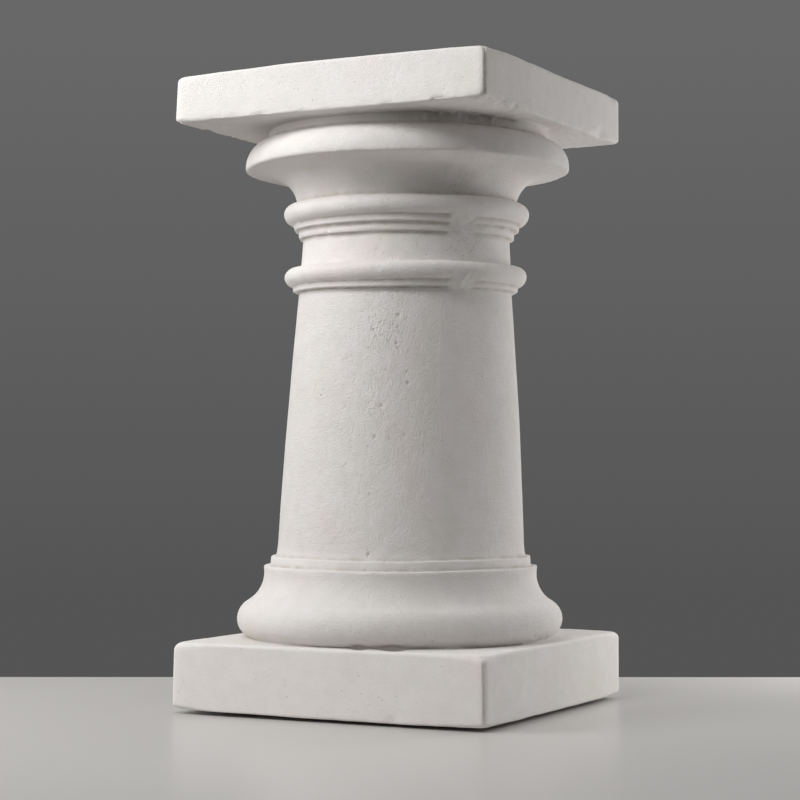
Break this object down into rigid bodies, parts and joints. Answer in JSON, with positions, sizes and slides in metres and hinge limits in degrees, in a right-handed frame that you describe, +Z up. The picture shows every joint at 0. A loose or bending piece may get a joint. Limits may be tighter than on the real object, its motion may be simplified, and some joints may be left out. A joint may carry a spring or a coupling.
{
  "type": "plaster column",
  "caption": "Small upright plaster column: square foot block, moulded round base, tapering shaft, ringed neck and rounded capital under a square top slab.",
  "frame": {"origin": "middle of the underside of the square foot block, on the surface the column stands on", "axes": "+Z up along the axis of the shaft; X and Y square to the sides of the foot block and of the top slab"},
  "size_m": [0.28, 0.28, 0.519],
  "materials": {
    "plaster": "matte"
  },
  "bodies": {
    "root": {"column": "plaster"}
  },
  "joints": []
}
